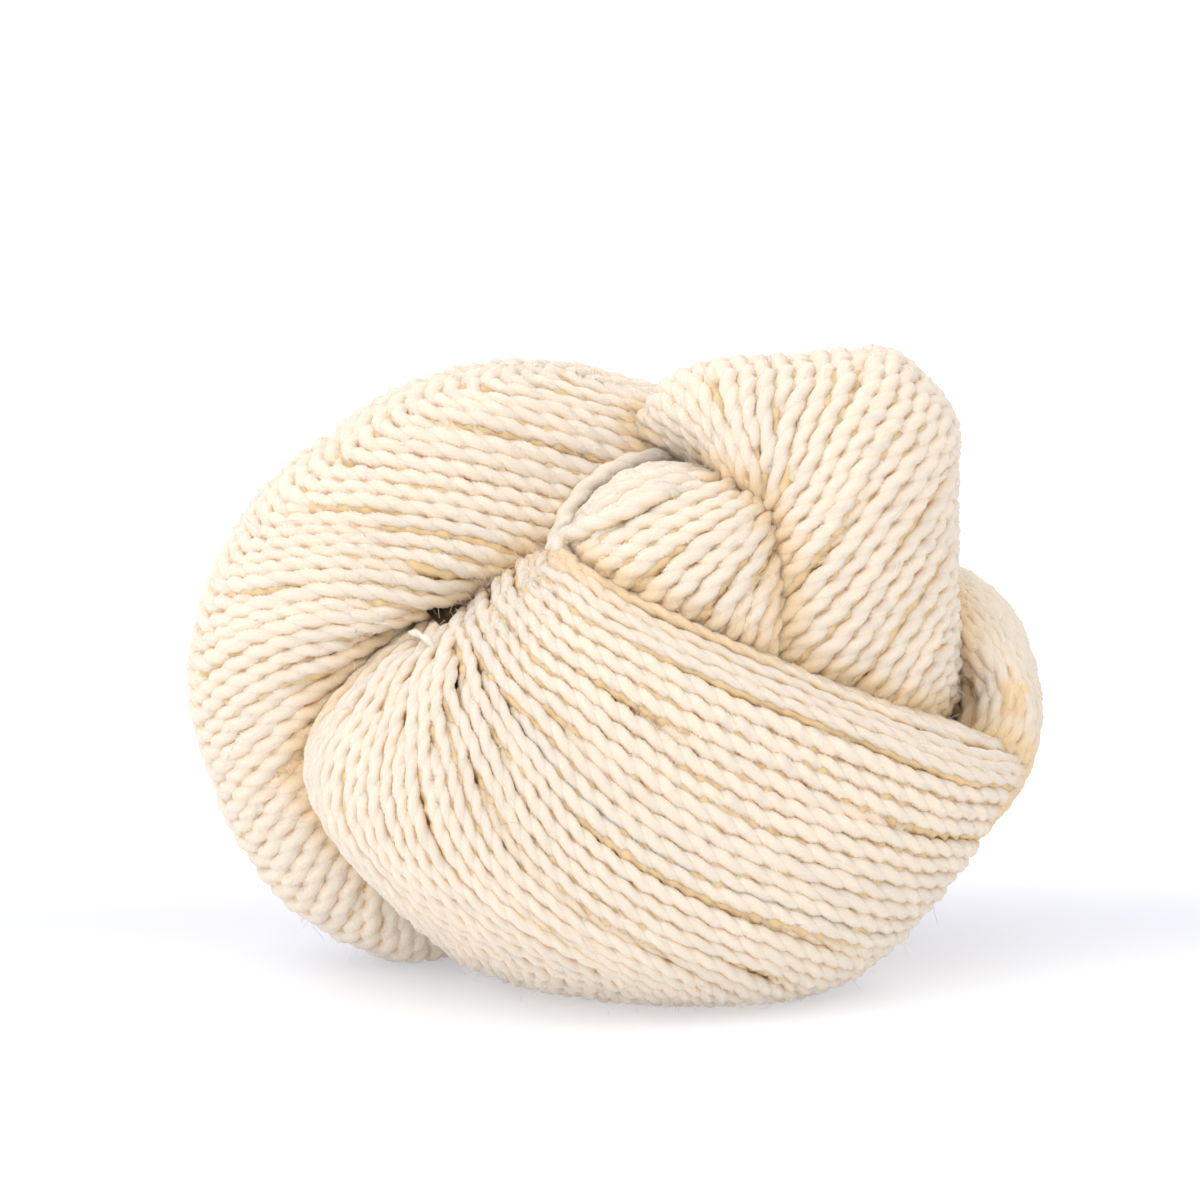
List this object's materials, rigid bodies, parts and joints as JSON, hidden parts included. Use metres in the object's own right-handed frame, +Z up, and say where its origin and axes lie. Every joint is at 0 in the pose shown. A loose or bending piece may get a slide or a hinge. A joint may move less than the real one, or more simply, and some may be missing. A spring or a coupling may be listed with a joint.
{
  "type": "hank of knitting yarn",
  "caption": "Twisted hank of cream two-ply knitting wool lying on its side, its lobes tucked into each other, with a thin tie thread.",
  "frame": {"origin": "on the surface that the hank rests on, under the middle of its bounding box", "axes": "+Z up, +X to the right along the hank's longest side, -Y towards the viewer of the front lobe"},
  "size_m": [0.1147, 0.0768, 0.0842],
  "materials": {
    "wool": "matte undyed cream wool with a soft halo of fibres",
    "tie_thread": "matte pale cotton thread"
  },
  "bodies": {
    "root": {"hank": "wool", "tie": "tie_thread"}
  },
  "joints": []
}
